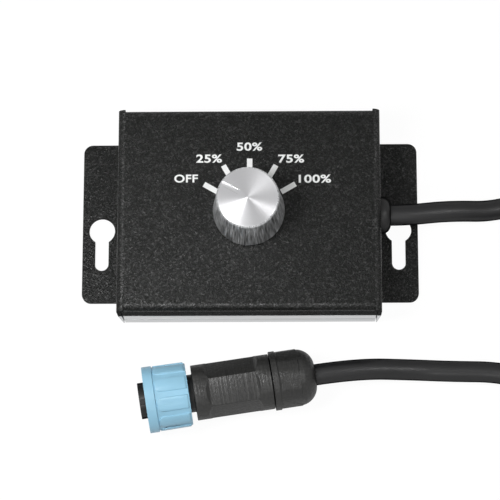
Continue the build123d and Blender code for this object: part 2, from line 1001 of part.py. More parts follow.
def clamping_cage():
    """Cone of sprung fingers between the seal and the gland nut."""
    low = body_rear + body_thread_length
    high = min(low + cage_length, gland_rear - gland_end_wall - axial_clearance)
    inner = cord_radius + fit_gap
    piece = turned(
        (inner, low),
        (body_seal_bore_radius, low),
        (body_seal_bore_radius, low + axial_clearance),
        (inner + cage_wall / 2, high),
        (inner, high),
    )
    slit = block(
        (0, 2 * body_radius),
        (-cage_slit / 2, cage_slit / 2),
        (low + cage_wall, high + through),
    )
    for cut in around(slit, cage_finger_count):
        piece -= cut
    return at_connector(piece)


def connector_cord_end():
    """End of the cord inside the connector, from the gland nut's end face."""
    return at_connector(rod(cord_radius, cord_end_station, gland_rear))


def corner_radii(route):
    """For each corner, 0.45 of the shorter run over the tangent of half the turn."""
    radii = []
    for before, corner, after in zip(route, route[1:], route[2:]):
        first = Vector(*corner) - Vector(*before)
        second = Vector(*after) - Vector(*corner)
        half_turn = radians(first.get_angle(second)) / 2
        radii.append(arc_share * min(first.length, second.length) / tan(half_turn))
    return radii


def free_cord(name, route):
    """Tube along one visible stretch of the cord."""
    radii = corner_radii(route)
    tube, length = tube_along(route, cord_radius, radii)
    area = tube_section()
    print(name, "arc radii", [round(r, 1) for r in radii], "length", round(length, 1))
    print(name, "volume over section times length", round(tube.volume / (area * length), 4))
    return tube


def tube_section():
    """Area of the cord's section."""
    return Circle(cord_radius).area


def plug_route():
    """Points of the cord from the connector to the coil."""
    start = Vector(*nut_front, axis_height) + connector_axis() * gland_rear
    second = start + connector_axis() * plug_first_run
    return [tuple(start), tuple(second)] + plug_route_after_exit


def cord_coil():
    """Outer shape of the coil, with a short tail towards each free stretch."""
    half_build = coil_turns_wide * cord_radius
    height = coil_turns_high * 2 * cord_radius
    piece = ring(coil_mid_radius + half_build, coil_mid_radius - half_build, 0, height)
    piece = Pos(*coil_centre, 0) * piece
    box_end, box_inward = route_end(box_route)
    tail = rod(cord_radius, 0, box_tail_length)
    piece += Plane(origin=box_end, z_dir=box_inward).location * tail
    plug_end, plug_inward = route_end(plug_route_after_exit)
    knee = plug_end + plug_inward * plug_tail_rise
    tail_route = [tuple(plug_end), tuple(knee), plug_tail_end]
    return piece + tube_along(tail_route, cord_radius, corner_radii(tail_route))[0]


def route_end(route):
    """Last point of a route and the direction that it arrives in."""
    end = Vector(*route[-1])
    return end, (end - Vector(*route[-2])).normalized()


nodes = {
    "cover": cover(),
    "base_tray": tray(),
    "cover_standoffs": standoffs(),
    "tray_screws": tray_screws(),
    "switch_bushing": switch_bushing(),
    "switch_housing": switch_housing(),
    "switch_base": switch_base(),
    "switch_terminals": switch_terminals(),
    "switch_rotor": switch_rotor(),
    "detent_ball": detent_ball(),
    "detent_spring": detent_spring(),
    "switch_wiper": switch_wiper(),
    "switch_shaft": switch_shaft(),
    "bushing_washer": bushing_washer(),
    "bushing_nut": bushing_nut(),
    "knob": knob(),
    "knob_hub": knob_hub(),
    "circuit_board": circuit_board(),
    "resistors": resistors(),
    "terminal_block": terminal_block(),
    "strain_relief": strain_relief(),
    "strain_relief_nut": strain_relief_nut(),
    "inner_cord": inner_cord(),
    "inner_wires": inner_wires(),
    "coupling_nut": coupling_nut(),
    "connector_body": connector_body(),
    "contact_insert": contact_insert(),
    "contact_sockets": contact_sockets(),
    "connector_wires": connector_wires(),
    "seal_ring": seal_ring(),
    "gland_nut": gland_nut(),
    "gland_seal": gland_seal(),
    "clamping_cage": clamping_cage(),
    "connector_cord_end": connector_cord_end(),
    "cord_from_box": free_cord("cord_from_box", box_route),
    "cord_coil": cord_coil(),
    "cord_to_connector": free_cord("cord_to_connector", plug_route()),
}

os.makedirs("parts", exist_ok=True)
for name, piece in nodes.items():
    solids = piece if isinstance(piece, list) else [piece]
    solids = [solid for group in solids for solid in group.solids()]
    shape = Compound(children=solids) if len(solids) > 1 else solids[0]
    shape.label = name
    export_step(shape, f"parts/{name}.step")
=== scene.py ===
import json
from math import cos, pi, radians, sin, tau

import bmesh
import bpy
from mathutils import Matrix, Vector

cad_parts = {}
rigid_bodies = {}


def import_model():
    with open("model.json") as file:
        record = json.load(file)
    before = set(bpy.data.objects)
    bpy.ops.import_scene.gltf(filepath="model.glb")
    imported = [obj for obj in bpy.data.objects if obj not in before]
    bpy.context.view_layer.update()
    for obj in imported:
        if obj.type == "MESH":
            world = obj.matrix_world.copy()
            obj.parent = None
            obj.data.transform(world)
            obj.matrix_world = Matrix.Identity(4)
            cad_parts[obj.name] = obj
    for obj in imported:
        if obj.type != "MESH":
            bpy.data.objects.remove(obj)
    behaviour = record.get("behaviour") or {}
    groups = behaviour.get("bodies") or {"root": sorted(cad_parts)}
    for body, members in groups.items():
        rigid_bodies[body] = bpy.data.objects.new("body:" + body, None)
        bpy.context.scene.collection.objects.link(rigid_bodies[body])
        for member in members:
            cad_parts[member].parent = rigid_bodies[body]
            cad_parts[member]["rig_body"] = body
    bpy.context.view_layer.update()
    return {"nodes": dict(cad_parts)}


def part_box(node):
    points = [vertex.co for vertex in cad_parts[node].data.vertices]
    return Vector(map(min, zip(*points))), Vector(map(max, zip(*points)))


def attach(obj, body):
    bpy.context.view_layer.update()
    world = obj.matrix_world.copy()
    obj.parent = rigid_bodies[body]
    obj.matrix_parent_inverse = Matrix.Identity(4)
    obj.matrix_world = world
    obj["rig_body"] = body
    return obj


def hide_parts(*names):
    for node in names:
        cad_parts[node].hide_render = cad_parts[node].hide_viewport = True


for leftover in list(bpy.data.objects):
    bpy.data.objects.remove(leftover)

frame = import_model()
MM = 0.001


# Camera. It looks down on the box from 64 cm, leaning 13 degrees towards the
# lower edge of the face, with the face's +Y up in the picture.
camera_place = Vector((12.54, -152.00, 638.48)) * MM
camera_aim = Vector((-0.052, -8.318, 0.0)) * MM
camera_lens = 151.82

ahead = (camera_aim - camera_place).normalized()
across = ahead.cross(Vector((0, 1, 0))).normalized()
above = across.cross(ahead)
camera = bpy.data.objects.new("camera", bpy.data.cameras.new("camera"))
camera.data.lens = camera_lens
camera.data.sensor_width = 36.0
camera.data.clip_start = 10 * MM
camera_turn = Matrix((across, above, -ahead)).transposed().to_4x4()
camera.matrix_world = Matrix.Translation(camera_place) @ camera_turn
bpy.context.scene.collection.objects.link(camera)
bpy.context.scene.camera = camera


# Studio. A white sweep under and behind the box, a soft light near it on the
# left, a tall one on the right and a wide one in front.
bpy.context.scene.view_settings.view_transform = "Standard"


def linear(hex_colour):
    """An sRGB hex colour as linear RGBA."""
    channels = [int(hex_colour[i:i + 2], 16) / 255 for i in (1, 3, 5)]
    return [c / 12.92 if c < 0.04045 else ((c + 0.055) / 1.055) ** 2.4 for c in channels] + [1.0]


def add(tree, kind, inputs=None, **settings):
    """Adds a shader node, with its settings and its inputs as values or links."""
    node = tree.nodes.new("ShaderNode" + kind)
    for name, value in settings.items():
        setattr(node, name, value)
    for name, value in (inputs or {}).items():
        if isinstance(value, bpy.types.NodeSocket):
            tree.links.new(value, node.inputs[name])
        else:
            node.inputs[name].default_value = value
    return node


def new_material(name):
    """An empty material: returns it, its node tree and its output node."""
    material = bpy.data.materials.new(name)
    material.use_nodes = True
    material.node_tree.nodes.clear()
    return material, material.node_tree, add(material.node_tree, "OutputMaterial")


floor_half = 1.5
floor_drop = 0.05
sweep_share = 0.86
sweep_glow = 1.1

floor_mesh = bmesh.new()
bmesh.ops.create_grid(floor_mesh, x_segments=1, y_segments=1, size=floor_half)
floor_data = bpy.data.meshes.new("floor")
floor_mesh.to_mesh(floor_data)
floor_mesh.free()
floor = bpy.data.objects.new("floor", floor_data)
bpy.context.scene.collection.objects.link(floor)
floor.location.z = -floor_drop * MM

# White card: it shows as white to the eye and in gloss, and keeps a shadow.
card, tree, output = new_material("white_card")
rays = add(tree, "LightPath").outputs
seen = add(tree, "Math", {0: rays["Is Camera Ray"], 1: rays["Is Glossy Ray"]}, operation="MAXIMUM")
seen = add(tree, "Math", {0: seen.outputs[0], 1: rays["Is Transmission Ray"]}, operation="MAXIMUM")
share = add(tree, "Math", {0: seen.outputs[0], 1: sweep_share}, operation="MULTIPLY")
paper = add(tree, "BsdfDiffuse", {"Color": linear("#B8B8B8")})
glow = add(tree, "Emission", {"Color": linear("#FFFFFF"), "Strength": sweep_glow})
mixed = add(tree, "MixShader", {0: share.outputs[0], 1: paper.outputs[0], 2: glow.outputs[0]})
tree.links.new(mixed.outputs[0], output.inputs["Surface"])
floor_data.materials.append(card)

# The room: dim for its light, but gloss shows the white sweep round the box
# and a pale ceiling over it.
room_level = 0.3
ceiling_level = 0.55
world = bpy.data.worlds.new("studio")
bpy.context.scene.world = world
world.use_nodes = True
tree = world.node_tree
tree.nodes.clear()
rays = add(tree, "LightPath").outputs
up = add(tree, "SeparateXYZ", {0: add(tree, "TexCoord").outputs["Generated"]}).outputs["Z"]
sweep = add(tree, "MapRange", {"Value": up, "From Min": 0.12, "From Max": 0.4,
                               "To Min": 1.0, "To Max": 0.0})
shown = add(tree, "MapRange", {"Value": sweep.outputs[0], "To Min": ceiling_level, "To Max": 1.0})
gloss = add(tree, "Math", {0: rays["Is Glossy Ray"], 1: rays["Is Transmission Ray"]}, operation="MAXIMUM")
gloss = add(tree, "Math", {0: gloss.outputs[0], 1: shown.outputs[0]}, operation="MULTIPLY")
seen = add(tree, "Math", {0: gloss.outputs[0], 1: rays["Is Camera Ray"]}, operation="MAXIMUM")
level = add(tree, "Math", {0: seen.outputs[0], 1: room_level}, operation="MAXIMUM")
room = add(tree, "Background", {"Color": linear("#FFFFFF"), "Strength": level.outputs[0]})
tree.links.new(room.outputs[0], add(tree, "OutputWorld").inputs["Surface"])


def soft_light(name, place, size, power):
    """A square soft box that faces the middle of the object."""
    lamp = bpy.data.lights.new(name, "AREA")
    lamp.shape = "RECTANGLE"
    lamp.size, lamp.size_y = size
    lamp.energy = power
    holder = bpy.data.objects.new(name, lamp)
    holder.location = place
    holder.rotation_euler = (-Vector(place)).to_track_quat("-Z", "Y").to_euler()
    bpy.context.scene.collection.objects.link(holder)


soft_light("left_box", (-0.125, -0.05, 0.26), (0.08, 0.12), 0.6)
soft_light("right_box", (0.28, -0.05, 0.45), (0.06, 0.16), 0.45)
soft_light("front_box", (-0.05, -0.62, 0.76), (0.3, 0.2), 1.1)


# Cord. Round PVC jacket, 6.5 mm across, from the box's strain relief to the
# connector. Only its two ends show in the view: the rest is wound and tied.
cord_radius = 3.25
box_points = [
    (43.2, 0.15, 10.0),
    (48.6, 0.15, 10.0),
    (61.3, 1.72, 8.95),
    (76.5, 2.72, 3.25),
    (91.6, 8.35, 3.25),
]
plug_points = [
    (104.5, -57.3, 9.74),
    (91.21, -52.55, 6.6),
    (77.0, -47.45, 3.25),
    (61.0, -47.2, 3.25),
    (50.0, -46.7, 3.25),
    (32.65, -47.02, 8.26),
    (19.81, -49.0, 8.63),
]

# The coil's lower layer winds inwards over three rings, climbs, and the upper
# layer winds out again. Turns are counted from the place where the cord joins.
coil_centre = Vector((129.0, -22.0, 0.0))
coil_rings = (41.15, 34.65, 28.15)
coil_layers = (3.25, 9.75)
coil_start = radians(110.45)
coil_turns = 4.6117
coil_steps = 74
ring_changes = ((0.6, 0, 1), (1.6, 1, 2), (2.62, 2, 1), (3.62, 1, 0))
ring_change_length = 0.23
climb_from, climb_to = 1.9, 2.4
strap_thickness = 0.8
strap_angles = (radians(20), radians(200))
strap_lift_reach = radians(40)


def smooth_step(value, low, high):
    """0 below low, 1 above high and an S-curve between."""
    share = min(1.0, max(0.0, (value - low) / (high - low)))
    return share * share * (3 - 2 * share)


def coil_point(turn):
    """Control point of the coil after so many turns."""
    radius = coil_rings[0]
    for start, before, after in ring_changes:
        step = coil_rings[after] - coil_rings[before]
        radius += step * smooth_step(turn, start, start + ring_change_length)
    angle = coil_start - tau * turn
    rise = coil_layers[1] - coil_layers[0]
    height = coil_layers[0] + rise * smooth_step(turn, climb_from, climb_to)
    for strap in strap_angles:
        apart = abs((angle - strap + pi) % tau - pi)
        height += strap_thickness * (1 - smooth_step(apart, 0, strap_lift_reach))
    corner = radius / cos(pi * coil_turns / coil_steps)
    return coil_centre + Vector((corner * cos(angle), corner * sin(angle), height))


turn_step = coil_turns / coil_steps
coil_points = [coil_point((i - 0.5) * turn_step) for i in range(coil_steps + 2)]
cord_points = [Vector(p) for p in box_points] + coil_points + [Vector(p) for p in plug_points]

cord_curve = bpy.data.curves.new("cord", "CURVE")
cord_curve.dimensions = "3D"
cord_curve.bevel_depth = 1.0
cord_curve.bevel_resolution = 8
cord_curve.resolution_u = 10
cord_curve.use_fill_caps = True
spline = cord_curve.splines.new("NURBS")
spline.points.add(len(cord_points) - 1)
for point, place in zip(spline.points, cord_points):
    point.co = (*(place * MM), 1.0)
    point.radius = cord_radius * MM
spline.order_u = 3
spline.use_endpoint_u = True
cord = bpy.data.objects.new("cord", cord_curve)
bpy.context.scene.collection.objects.link(cord)
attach(cord, "root")
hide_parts("cord_from_box", "cord_coil", "cord_to_connector")


def between(tree, noise, low, high):
    """Turns the usual range of a noise, 0.3 to 0.7, into values from low to high."""
    return add(tree, "MapRange", {"Value": noise.outputs["Fac"], "From Min": 0.3, "From Max": 0.7,
                                  "To Min": low, "To Max": high}).outputs[0]


def tinted(tree, colour, tone):
    """A hex colour, made darker or lighter by a factor."""
    return add(tree, "VectorMath", {0: linear(colour)[:3], "Scale": tone}, operation="SCALE").outputs[0]


def bumped(tree, height, depth_mm):
    """The normal of a skin with that relief."""
    return add(tree, "Bump", {"Height": height, "Distance": depth_mm * MM, "Strength": 1.0}).outputs[0]


def put_surface(tree, output, inputs):
    """Ends a material with one Principled shader."""
    shader = add(tree, "BsdfPrincipled", inputs)
    tree.links.new(shader.outputs[0], output.inputs["Surface"])


cloud_mm = 9


def plastic(name, colour, roughness, grain_mm, depth_mm, mottle=0.12, specular=0.5, rim=0.0):
    """Moulded or extruded plastic, uneven in tone and skin, less glossy at its rim."""
    material, tree, output = new_material(name)
    place = add(tree, "TexCoord").outputs["Object"]
    grain = add(tree, "TexNoise", {"Vector": place, "Scale": 1 / (grain_mm * MM), "Detail": 2.0})
    cloud = add(tree, "TexNoise", {"Vector": place, "Scale": 1 / (cloud_mm * MM), "Detail": 1.0})
    tone = between(tree, cloud, 1 - mottle, 1 + mottle)
    slant = add(tree, "LayerWeight", {"Blend": 0.5}).outputs["Facing"]
    gloss = add(tree, "MapRange", {"Value": slant, "From Min": 0.1, "From Max": 0.6,
                                   "To Min": specular, "To Max": rim})
    put_surface(tree, output, {
        "Base Color": tinted(tree, colour, tone),
        "Roughness": between(tree, grain, roughness - 0.07, roughness + 0.07),
        "Normal": bumped(tree, grain.outputs["Fac"], depth_mm),
        "Specular IOR Level": gloss.outputs[0]})
    return material


# Extruded PVC: nearly black, satin, with the faint unevenness of its drawing.
cord_jacket = plastic("pvc_cord_jacket", "#171718", 0.42, 1.1, 0.02, specular=0.5)
cord_curve.materials.append(cord_jacket)


# Straps. Two hook-and-loop bands, 8 mm wide, are wrapped round the coil and
# closed on top, where the free end lies over the band.
strap_width = 8.0
strap_corner = 3.0
strap_tab = 9.0


def new_piece(name, shape, body, materials, smooth_below=35):
    """A mesh object made from a bmesh, shaded smooth except at sharp edges."""
    data = bpy.data.meshes.new(name)
    shape.to_mesh(data)
    shape.free()
    data.shade_smooth()
    data.set_sharp_from_angle(angle=radians(smooth_below))
    for material in materials:
        data.materials.append(material)
    piece = bpy.data.objects.new(name, data)
    bpy.context.scene.collection.objects.link(piece)
    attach(piece, body)
    return piece


# Woven polyamide loop tape: a dull black pile, here drawn 0.6 mm coarse.
loop_tape = plastic("nylon_loop_tape", "#151515", 0.9, 0.6, 0.12, specular=0.2)

for number, angle in enumerate(strap_angles):
    width = coil_rings[0] - coil_rings[2] + 2 * cord_radius
    height = coil_layers[1] + cord_radius
    band = bmesh.new()
    bmesh.ops.create_cube(band, size=1.0)
    outside = (width + 2 * strap_thickness, strap_width, height + 2 * strap_thickness)
    bmesh.ops.scale(band, vec=outside, verts=band.verts)
    ends = [face for face in band.faces if abs(face.normal.y) > 0.9]
    bmesh.ops.delete(band, geom=ends, context="FACES_ONLY")
    long_edges = [edge for edge in band.edges
                  if abs((edge.verts[0].co - edge.verts[1].co).y) > strap_width / 2]
    bmesh.ops.bevel(band, geom=long_edges, offset=strap_corner, segments=6, profile=0.5,
                    affect="EDGES", material=-1)
    bmesh.ops.solidify(band, geom=band.faces, thickness=strap_thickness)
    tab = bmesh.ops.create_cube(band, size=1.0)["verts"]
    bmesh.ops.scale(band, vec=(strap_tab, strap_width, strap_thickness), verts=tab)
    bmesh.ops.translate(band, vec=(0, 0, height / 2 + 1.5 * strap_thickness), verts=tab)
    spread = (coil_rings[0] + coil_rings[2]) / 2
    stand = Matrix.Translation((spread, 0, height / 2 + strap_thickness))
    turn = Matrix.Rotation(angle, 4, "Z")
    bmesh.ops.transform(band, matrix=Matrix.Translation(coil_centre) @ turn @ stand, verts=band.verts)
    bmesh.ops.scale(band, vec=(MM, MM, MM), verts=band.verts)
    new_piece(f"coil_strap_{number + 1}", band, "root", [loop_tape])


# Cover. One steel sheet, 1.2 mm, punched and folded, with the face, skirts and
# ears in one piece. Its cut edges are rounded by the powder coat over them.
weld_distance = 0.001
flat_within = radians(0.4)


def rounded_copy(node, name, width, materials, segments=2, sharper_than=28):
    """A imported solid's own shape with its doubles merged and its edges rounded."""
    shape = bmesh.new()
    shape.from_mesh(frame["nodes"][node].data)
    bmesh.ops.remove_doubles(shape, verts=shape.verts, dist=weld_distance * MM)
    bmesh.ops.dissolve_limit(shape, angle_limit=flat_within, verts=shape.verts, edges=shape.edges)
    body = frame["nodes"][node]["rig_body"]
    piece = new_piece(name, shape, body, materials)
    bevel = piece.modifiers.new("edge_rounding", "BEVEL")
    bevel.width = width * MM
    bevel.segments = segments
    bevel.limit_method = "ANGLE"
    bevel.angle_limit = radians(sharper_than)
    bevel.use_clamp_overlap = False
    bevel.harden_normals = True
    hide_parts(node)
    return piece


# Fine-textured polyester powder coat on steel: a sandy black skin whose grains
# catch the light and shade each other at a slant. It is drawn thin over the
# bends and shines more where they start and end. Real grain about 0.2 mm, drawn at 0.45.
powder_grain = 0.45
powder_depth = 0.23
powder_coat, tree, output = new_material("black_powder_coat")
place = add(tree, "TexCoord").outputs["Object"]
grain = add(tree, "TexNoise", {"Vector": place, "Scale": 1 / (powder_grain * MM),
                               "Detail": 2.0, "Roughness": 0.6})
cells = add(tree, "TexVoronoi", {"Vector": place, "Scale": 1 / (powder_grain * MM)}, feature="F1")
chance = add(tree, "SeparateXYZ", {0: cells.outputs["Color"]}).outputs["X"]
speck = add(tree, "MapRange", {"Value": chance, "From Min": 0.6, "From Max": 1.0,
                               "To Min": 0.7, "To Max": 1.9})
tone = between(tree, grain, 0.0, 1.0)
paint = add(tree, "Mix", {0: tone, 6: linear("#070807"), 7: linear("#111210")}, data_type="RGBA")
slant = add(tree, "LayerWeight", {"Blend": 0.5}).outputs["Facing"]
fade = add(tree, "MapRange", {"Value": slant, "From Min": 0.1, "From Max": 0.74,
                              "To Min": 0.24, "To Max": 0.0012})
gloss = add(tree, "Math", {0: fade.outputs[0], 1: speck.outputs[0]}, operation="MULTIPLY")
upright = add(tree, "SeparateXYZ", {0: add(tree, "TexCoord").outputs["Normal"]}).outputs["Z"]
leaving = add(tree, "MapRange", {"Value": upright, "From Min": 0.998, "From Max": 0.985})
arriving = add(tree, "MapRange", {"Value": upright, "From Min": 0.7, "From Max": 0.96})
bend = add(tree, "Math", {0: leaving.outputs[0], 1: arriving.outputs[0]}, operation="MULTIPLY")
aslant = add(tree, "MapRange", {"Value": slant, "From Min": 0.7, "From Max": 0.86, "To Max": 0.9})
off_wall = add(tree, "MapRange", {"Value": upright, "From Min": 0.02, "From Max": 0.1})
rim = add(tree, "Math", {0: aslant.outputs[0], 1: off_wall.outputs[0]}, operation="MULTIPLY")
shine = add(tree, "Math", {0: bend.outputs[0], 1: 0.24, 2: rim.outputs[0]}, operation="MULTIPLY_ADD")
gloss = add(tree, "Math", {0: shine.outputs[0], 1: speck.outputs[0], 2: gloss.outputs[0]},
            operation="MULTIPLY_ADD")
put_surface(tree, output, {
    "Base Color": paint.outputs[2],
    "Roughness": between(tree, grain, 0.36, 0.22),
    "Normal": bumped(tree, grain.outputs["Fac"], powder_depth),
    "Specular IOR Level": gloss.outputs[0]})

rounded_copy("cover", "cover_shell", 0.05, [powder_coat])


# Dial print. Screen-printed white ink on the face: five marks, 30 degrees
# apart, that run in under the knob, and the word or number beside each.
face_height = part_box("cover")[1].z / MM
ink_thickness = 0.03
dial_centre = Vector((0.25, -0.35))
mark_width = 1.65
mark_inner, mark_outer = 11.0, 16.0
mark_angles = (60, 30, 0, -30, -60)
dial_words = (
    ("OFF", "dial_off", (-22.61, -15.46, 8.2, 10.72)),
    ("25%", "dial_25", (-16.0, -8.17, 14.38, 17.0)),
    ("50%", "dial_50", (-3.7, 4.05, 18.09, 20.71)),
    ("75%", "dial_75", (8.9, 16.77, 14.24, 16.86)),
    ("100%", "dial_100", (15.09, 24.88, 7.94, 10.51)),
)
letter_weight = 0.023
letter_spacing = 1.05

# Matt white ink: thin enough that the sandy coat shows through its skin.
white_ink = plastic("white_screen_ink", "#E2E3E2", 0.6, powder_grain, 0.02, mottle=0.03)

marks = bmesh.new()
for angle in mark_angles:
    mark = bmesh.ops.create_cube(marks, size=1.0)["verts"]
    bmesh.ops.scale(marks, vec=(mark_width, mark_outer - mark_inner, ink_thickness), verts=mark)
    middle = (0, (mark_outer + mark_inner) / 2, face_height + ink_thickness / 2)
    bmesh.ops.translate(marks, vec=middle, verts=mark)
    bmesh.ops.rotate(marks, matrix=Matrix.Rotation(radians(angle), 3, "Z"), verts=mark)
bmesh.ops.translate(marks, vec=(*dial_centre, 0), verts=marks.verts)
bmesh.ops.scale(marks, vec=(MM, MM, MM), verts=marks.verts)
new_piece("dial_marks", marks, "root", [white_ink])


def printed_word(word, name, box):
    """A word in bold letters, fitted to its left, right, lower and upper edges on the face."""
    text = bpy.data.curves.new(name, "FONT")
    text.body = word
    text.offset = letter_weight
    text.space_character = letter_spacing
    text.extrude = 0.5
    text.resolution_u = 6
    writer = bpy.data.objects.new(name + "_text", text)
    bpy.context.scene.collection.objects.link(writer)
    bpy.context.view_layer.update()
    flat = bpy.data.meshes.new_from_object(writer.evaluated_get(bpy.context.evaluated_depsgraph_get()))
    bpy.data.objects.remove(writer)
    letters = bmesh.new()
    letters.from_mesh(flat)
    bpy.data.meshes.remove(flat)
    bmesh.ops.remove_doubles(letters, verts=letters.verts, dist=1e-5)
    low = [min(v.co[i] for v in letters.verts) for i in range(3)]
    high = [max(v.co[i] for v in letters.verts) for i in range(3)]
    left, right, bottom, top = box
    wanted = (right - left, top - bottom, ink_thickness)
    size = [wanted[i] / (high[i] - low[i]) for i in range(3)]
    bmesh.ops.translate(letters, vec=[-x for x in low], verts=letters.verts)
    bmesh.ops.scale(letters, vec=size, verts=letters.verts)
    bmesh.ops.translate(letters, vec=(left, bottom, face_height), verts=letters.verts)
    bmesh.ops.scale(letters, vec=(MM, MM, MM), verts=letters.verts)
    return new_piece(name, letters, "root", [white_ink])


for word, name, box in dial_words:
    printed_word(word, name, box)


# Base tray. One sheet of plain zinc-coated steel, folded up at top and bottom,
# with short returns at its corners. Its walls show as a bright strip below the
# cover's skirts.
def metal(name, colour, roughness, streak_mm, streak_length_mm, depth_mm, direction=(1, 0, 0), spread=0.08):
    """Metal with fine parallel working marks along one direction."""
    material, tree, output = new_material(name)
    place = add(tree, "TexCoord").outputs["Object"]
    scale = [1 / (streak_length_mm * MM) if part else 1 / (streak_mm * MM) for part in direction]
    stretched = add(tree, "Mapping", {"Vector": place, "Scale": scale})
    streak = add(tree, "TexNoise", {"Vector": stretched.outputs[0], "Scale": 1.0, "Detail": 3.0})
    put_surface(tree, output, {
        "Base Color": tinted(tree, colour, between(tree, streak, 0.9, 1.06)),
        "Metallic": 1.0,
        "Roughness": between(tree, streak, roughness - spread, roughness + spread),
        "Normal": bumped(tree, streak.outputs["Fac"], depth_mm)})
    return material


# Zinc-coated steel sheet, as rolled: pale grey, with faint marks along it.
zinc_sheet = metal("zinc_coated_sheet", "#BDBEBF", 0.34, 0.12, 14, 0.004)
rounded_copy("base_tray", "base_tray_sheet", 0.1, [zinc_sheet])


# Fasteners of the tray. Posts pressed into the cover from inside, and four
# countersunk screws that come through the back.
def finish_nodes(material, *names):
    """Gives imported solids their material."""
    for name in names:
        frame["nodes"][name].data.materials.clear()
        frame["nodes"][name].data.materials.append(material)


# Bright zinc plate over turned steel, and blackened screw steel.
zinc_plate = metal("bright_zinc_plate", "#C3C7CC", 0.3, 0.15, 3, 0.004, direction=(1, 1, 0))
finish_nodes(zinc_plate, "cover_standoffs")
black_screw = metal("blackened_screw_steel", "#4A4A4C", 0.36, 0.2, 2, 0.005)
finish_nodes(black_screw, "tray_screws")


# Rotary switch. Die-cast bushing, moulded housing, base and rotor, and the
# small steel and bronze parts of its detent and wiper.
die_cast = metal("nickelled_die_cast", "#B9B6AE", 0.34, 0.4, 0.5, 0.01)
finish_nodes(die_cast, "switch_bushing")
finish_nodes(plastic("green_pbt_housing", "#2F5B45", 0.45, 0.3, 0.01), "switch_housing")
finish_nodes(plastic("phenolic_contact_base", "#5A4630", 0.5, 0.25, 0.012), "switch_base")
finish_nodes(plastic("white_acetal_rotor", "#DAD8CF", 0.38, 0.3, 0.006), "switch_rotor")
tinned_brass = metal("tinned_brass_pin", "#CFCFC6", 0.3, 0.1, 1, 0.003, direction=(0, 0, 1))
finish_nodes(tinned_brass, "switch_terminals")
finish_nodes(metal("bearing_steel", "#C9CCD0", 0.12, 0.3, 0.3, 0.001), "detent_ball")
finish_nodes(metal("spring_steel", "#8F9296", 0.25, 0.3, 0.3, 0.03, direction=(1, 1, 0)), "detent_spring")
finish_nodes(metal("phosphor_bronze", "#B98A5A", 0.3, 0.1, 2, 0.003), "switch_wiper")
turned_steel = metal("turned_steel_shaft", "#B4B7BA", 0.26, 0.08, 2, 0.003, direction=(1, 1, 0))
finish_nodes(turned_steel, "switch_shaft")
nickel_plate = metal("nickel_plated_steel", "#BDB9B0", 0.24, 0.12, 2, 0.003)
finish_nodes(nickel_plate, "bushing_washer", "bushing_nut")


# Knob. Turned from aluminium bar: the face is spun, so that it throws bright
# sectors, and the tapered side is brushed from top to bottom.
knob_low, knob_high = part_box("knob")
knob_axis = Vector(((knob_low.x + knob_high.x) / 2, (knob_low.y + knob_high.y) / 2, 0))
knob_top = knob_high.z
knob_radius = 10.85
face_reach_mm = 0.6
face_ring_mm = 0.16
face_slope = 0.13
side_streak_mm = 0.42
side_streak_length_mm = 9
side_relief_mm = 0.36


def from_axis(tree, axis):
    """Object coordinates counted from a vertical axis, whole and without their height."""
    place = add(tree, "TexCoord").outputs["Object"]
    moved = add(tree, "VectorMath", {0: place, 1: -axis}, operation="ADD")
    flat = add(tree, "VectorMath", {0: moved.outputs[0], 1: (1, 1, 0)}, operation="MULTIPLY")
    return moved.outputs[0], flat.outputs[0]


# Spun aluminium: grooves too fine to see run round the axis, so gloss spreads
# across them, which is the way of the tangent. A few coarser ones show, and the
# face falls slightly towards its rim.
spun_face, tree, output = new_material("spun_aluminium_face")
flat_place = from_axis(tree, knob_axis)[1]
across_grooves = add(tree, "VectorTransform", {0: flat_place},
                     vector_type="VECTOR", convert_from="OBJECT", convert_to="WORLD")
reach = add(tree, "VectorMath", {0: flat_place}, operation="LENGTH")
rings = add(tree, "TexNoise", {"W": reach.outputs["Value"], "Scale": 1 / (face_ring_mm * MM), "Detail": 1.5},
            noise_dimensions="1D")
crown = add(tree, "Bump", {"Height": reach.outputs["Value"], "Distance": face_slope, "Strength": 1.0},
            invert=True)
put_surface(tree, output, {
    "Base Color": tinted(tree, "#E1E1E3", between(tree, rings, 0.97, 1.02)),
    "Metallic": 1.0,
    "Roughness": between(tree, rings, 0.3, 0.38),
    "Anisotropic": 0.74,
    "Tangent": across_grooves.outputs[0],
    "Normal": crown.outputs[0]})

# Brushed aluminium: streaks run up the side, each with its own tilt and tone.
brushed_side, tree, output = new_material("brushed_aluminium_side")
solid_place, flat_place = from_axis(tree, knob_axis)
outward = add(tree, "VectorMath", {0: flat_place}, operation="NORMALIZE")
upward = (0, 0, 1 / (side_streak_length_mm * MM))
climb = add(tree, "VectorMath", {0: solid_place, 1: upward}, operation="MULTIPLY")
streak_share = knob_radius / side_streak_mm
fine = add(tree, "VectorMath", {0: outward.outputs[0], 1: (streak_share,) * 3}, operation="MULTIPLY")
streak_place = add(tree, "VectorMath", {0: fine.outputs[0], 1: climb.outputs[0]}, operation="ADD")
streak = add(tree, "TexNoise", {"Vector": streak_place.outputs[0], "Scale": 1.0,
                                "Detail": 3.0, "Roughness": 0.65})
put_surface(tree, output, {
    "Base Color": tinted(tree, "#CFD0D1", between(tree, streak, 0.5, 1.42)),
    "Metallic": 1.0,
    "Roughness": between(tree, streak, 0.35, 0.6),
    "Normal": bumped(tree, streak.outputs["Fac"], side_relief_mm)})

knob = rounded_copy("knob", "knob_cap", 0.1, [brushed_side, spun_face])
for face in knob.data.polygons:
    if face.normal.z > 0.99 and face.center.z > knob_top - face_reach_mm * MM:
        face.material_index = 1

finish_nodes(plastic("black_abs_hub", "#1E1E1E", 0.5, 0.4, 0.01), "knob_hub")


